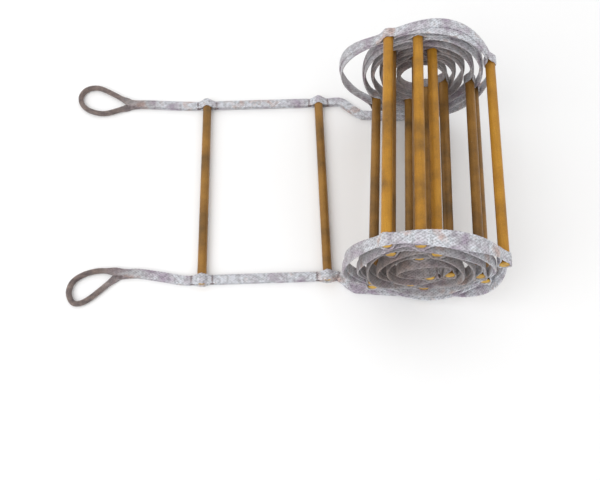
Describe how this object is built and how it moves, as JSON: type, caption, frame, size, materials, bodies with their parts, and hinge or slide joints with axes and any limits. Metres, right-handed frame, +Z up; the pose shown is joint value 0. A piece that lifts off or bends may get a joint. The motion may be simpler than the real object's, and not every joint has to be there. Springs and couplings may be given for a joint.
{
  "type": "escape rope ladder",
  "caption": "Escape rope ladder with round tube rungs in doubled soft side ropes, two rope eyes at the top, most of it rolled up on its side.",
  "frame": {"origin": "on the ground, under the middle of the whole laid-out ladder's box", "axes": "+X from the rope eyes towards the roll, +Y across the ladder to the far rope, +Z up"},
  "size_m": [1.0599, 0.6614, 0.3476],
  "materials": {
    "rung_tube": "satin ochre, lightly scuffed",
    "end_plug": "satin yellow",
    "nylon_rope": "soft braided nylon, slightly soiled",
    "thread": "waxed twine"
  },
  "bodies": {
    "roll": {"near_roll_rope": "nylon_rope", "far_roll_rope": "nylon_rope", "near_tail_stitching": "thread", "far_tail_stitching": "thread", "rolled_plugs_near": "end_plug", "rolled_plugs_far": "end_plug", "rung_03": "rung_tube", "rung_04": "rung_tube", "rung_05": "rung_tube", "rung_06": "rung_tube", "rung_07": "rung_tube", "rung_08": "rung_tube", "rung_09": "rung_tube", "rung_10": "rung_tube", "rung_11": "rung_tube", "rung_12": "rung_tube", "rung_13": "rung_tube", "rung_14": "rung_tube", "rung_15": "rung_tube", "rung_16": "rung_tube", "rung_17": "rung_tube"},
    "lower_span": {"near_lower_rope": "nylon_rope", "far_lower_rope": "nylon_rope", "rung_2_roll_side_seizings": "thread"},
    "second_rung": {"rung_02": "rung_tube", "rung_2_plugs": "end_plug"},
    "upper_span": {"near_upper_rope": "nylon_rope", "far_upper_rope": "nylon_rope", "rung_2_eye_side_seizings": "thread", "rung_1_roll_side_seizings": "thread"},
    "top_rung": {"rung_01": "rung_tube", "rung_1_plugs": "end_plug"},
    "near_eye": {"near_eye_rope": "nylon_rope", "near_eye_whipping": "thread", "near_eye_seizing": "thread"},
    "far_eye": {"far_eye_rope": "nylon_rope", "far_eye_whipping": "thread", "far_eye_seizing": "thread"}
  },
  "joints": [
    {"name": "lift_at_roll", "type": "hinge", "parent": "roll", "child": "lower_span", "pos_m": [0.22653, -0.03457, 0.007], "axis": [0.0976, 0.9952, 0], "range_deg": [0, 18]},
    {"name": "rung_2_spin", "type": "hinge", "parent": "lower_span", "child": "second_rung", "pos_m": [0.122, 0.0047, 0.014], "axis": [0, 1, 0], "continuous": true},
    {"name": "fold_at_rung_2", "type": "hinge", "parent": "lower_span", "child": "upper_span", "pos_m": [0.122, 0.0047, 0.014], "axis": [0, 1, 0], "range_deg": [0, 60]},
    {"name": "rung_1_spin", "type": "hinge", "parent": "upper_span", "child": "top_rung", "pos_m": [-0.178, 0.0047, 0.014], "axis": [0, 1, 0], "continuous": true},
    {"name": "near_eye_fold", "type": "hinge", "parent": "upper_span", "child": "near_eye", "pos_m": [-0.178, -0.2453, 0.014], "axis": [0, 1, 0], "range_deg": [0, 75]},
    {"name": "far_eye_fold", "type": "hinge", "parent": "upper_span", "child": "far_eye", "pos_m": [-0.178, 0.2547, 0.014], "axis": [0, 1, 0], "range_deg": [0, 75]}
  ]
}
